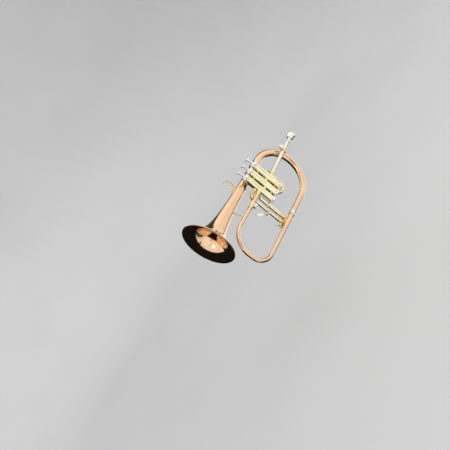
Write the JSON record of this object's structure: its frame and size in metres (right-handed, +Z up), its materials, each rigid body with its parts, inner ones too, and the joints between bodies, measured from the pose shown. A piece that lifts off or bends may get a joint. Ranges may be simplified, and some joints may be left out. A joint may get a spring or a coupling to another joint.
{
  "type": "flugelhorn",
  "caption": "Wide-belled soprano brass horn with an upright valve stack, conical loop of tubing, pull-out slides, a spring-return trigger and a deep-cup mouthpiece.",
  "frame": {"origin": "on the middle valve's axis at half the height of its casing and caps, where the left hand wraps the valve stack", "axes": "+X forward towards the bell's mouth, +Y to the player's left, +Z up along the valves towards the finger buttons"},
  "size_m": [0.459, 0.1524, 0.2426],
  "materials": {
    "rose_brass": "clear-lacquered rose brass, polished",
    "yellow_brass": "clear-lacquered yellow brass, polished",
    "nickel_silver": "polished nickel silver",
    "silver_plate": "bright silver plate",
    "spring_steel": "plain spring steel"
  },
  "bodies": {
    "horn": {"bell": "rose_brass", "bell_brace": "yellow_brass", "bell_ferrule": "nickel_silver", "bottom_cap_1": "silver_plate", "bottom_cap_2": "silver_plate", "bottom_cap_3": "silver_plate", "branch_ferrule": "nickel_silver", "casing_1": "yellow_brass", "casing_2": "yellow_brass", "casing_3": "yellow_brass", "clamp_collar": "yellow_brass", "crossover_12": "yellow_brass", "crossover_23": "yellow_brass", "exit_ferrule": "yellow_brass", "exit_tube": "rose_brass", "finger_hook": "yellow_brass", "first_slide_front_leg": "nickel_silver", "first_slide_rear_leg": "nickel_silver", "front_bow": "rose_brass", "lower_casing_brace_12": "yellow_brass", "lower_casing_brace_23": "yellow_brass", "lyre_socket": "silver_plate", "mouthpipe": "nickel_silver", "mouthpipe_brace": "yellow_brass", "rear_bow": "rose_brass", "second_slide_lower_leg": "nickel_silver", "second_slide_upper_leg": "nickel_silver", "third_slide_brace": "yellow_brass", "third_slide_front_leg": "nickel_silver", "third_slide_rear_leg": "nickel_silver", "top_cap_1": "silver_plate", "top_cap_2": "silver_plate", "top_cap_3": "silver_plate", "trigger_bracket": "yellow_brass", "upper_casing_brace_12": "yellow_brass", "upper_casing_brace_23": "yellow_brass", "valve_spring_1": "spring_steel", "valve_spring_2": "spring_steel", "valve_spring_3": "spring_steel"},
    "valve_1": {"piston_1": "silver_plate", "valve_stem_1": "silver_plate", "finger_button_1": "silver_plate"},
    "valve_2": {"piston_2": "silver_plate", "valve_stem_2": "silver_plate", "finger_button_2": "silver_plate"},
    "valve_3": {"piston_3": "silver_plate", "valve_stem_3": "silver_plate", "finger_button_3": "silver_plate"},
    "tuning_pipe": {"tuning_pipe": "nickel_silver"},
    "mouthpiece": {"mouthpiece": "silver_plate"},
    "clamp_screw": {"clamp_screw": "silver_plate"},
    "first_slide": {"first_slide_bow": "yellow_brass"},
    "second_slide": {"second_slide_bow": "yellow_brass", "second_slide_knob": "nickel_silver"},
    "third_slide": {"third_slide_bow": "yellow_brass", "trigger_rod": "yellow_brass", "water_key_saddle": "yellow_brass"},
    "trigger": {"trigger_lever": "nickel_silver"},
    "water_key": {"water_key_lever": "nickel_silver"},
    "lyre_screw": {"lyre_screw": "silver_plate"}
  },
  "joints": [
    {"name": "valve_1_stroke", "type": "slide", "parent": "horn", "child": "valve_1", "axis": [0, 0, -1], "range_m": [0, 0.013], "stiffness_N_per_m": 150, "springref_m": -0.02, "deforming": ["valve_spring_1"]},
    {"name": "valve_2_stroke", "type": "slide", "parent": "horn", "child": "valve_2", "axis": [0, 0, -1], "range_m": [0, 0.013], "stiffness_N_per_m": 150, "springref_m": -0.02, "deforming": ["valve_spring_2"]},
    {"name": "valve_3_stroke", "type": "slide", "parent": "horn", "child": "valve_3", "axis": [0, 0, -1], "range_m": [0, 0.013], "stiffness_N_per_m": 150, "springref_m": -0.02, "deforming": ["valve_spring_3"]},
    {"name": "tuning_pipe_pull", "type": "slide", "parent": "horn", "child": "tuning_pipe", "axis": [-0.9994, 0, 0.0349], "range_m": [0, 0.02]},
    {"name": "mouthpiece_pull", "type": "slide", "parent": "tuning_pipe", "child": "mouthpiece", "axis": [-0.9994, 0, 0.0349], "range_m": [0, 0.03]},
    {"name": "clamp_screw_turn", "type": "hinge", "parent": "horn", "child": "clamp_screw", "pos_m": [-0.14141, 0, 0.00672], "axis": [0, 1, 0], "continuous": true},
    {"name": "lyre_screw_turn", "type": "hinge", "parent": "horn", "child": "lyre_screw", "pos_m": [0.08, 0.005, -0.0152], "axis": [0, 1, 0], "continuous": true},
    {"name": "first_slide_pull", "type": "slide", "parent": "horn", "child": "first_slide", "axis": [0, 0, -1], "range_m": [0, 0.015]},
    {"name": "second_slide_pull", "type": "slide", "parent": "horn", "child": "second_slide", "axis": [0, -1, 0], "range_m": [0, 0.01]},
    {"name": "third_slide_pull", "type": "slide", "parent": "horn", "child": "third_slide", "axis": [0, 0, -1], "range_m": [0, 0.01], "stiffness_N_per_m": 120, "springref_m": -0.015},
    {"name": "trigger_turn", "type": "hinge", "parent": "horn", "child": "trigger", "pos_m": [0.0705, -0.007, -0.06], "axis": [0, -1, 0], "range_deg": [0, 45]},
    {"name": "water_key_turn", "type": "hinge", "parent": "third_slide", "child": "water_key", "pos_m": [0.0715, -0.011, -0.107], "axis": [0, -1, 0], "range_deg": [0, 20], "stiffness_Nm_per_rad": 0.02, "springref_deg": -28.65}
  ],
  "couplings": [
    {"joint": "trigger_turn", "follows": "third_slide_pull", "rad_per_m": 76}
  ]
}
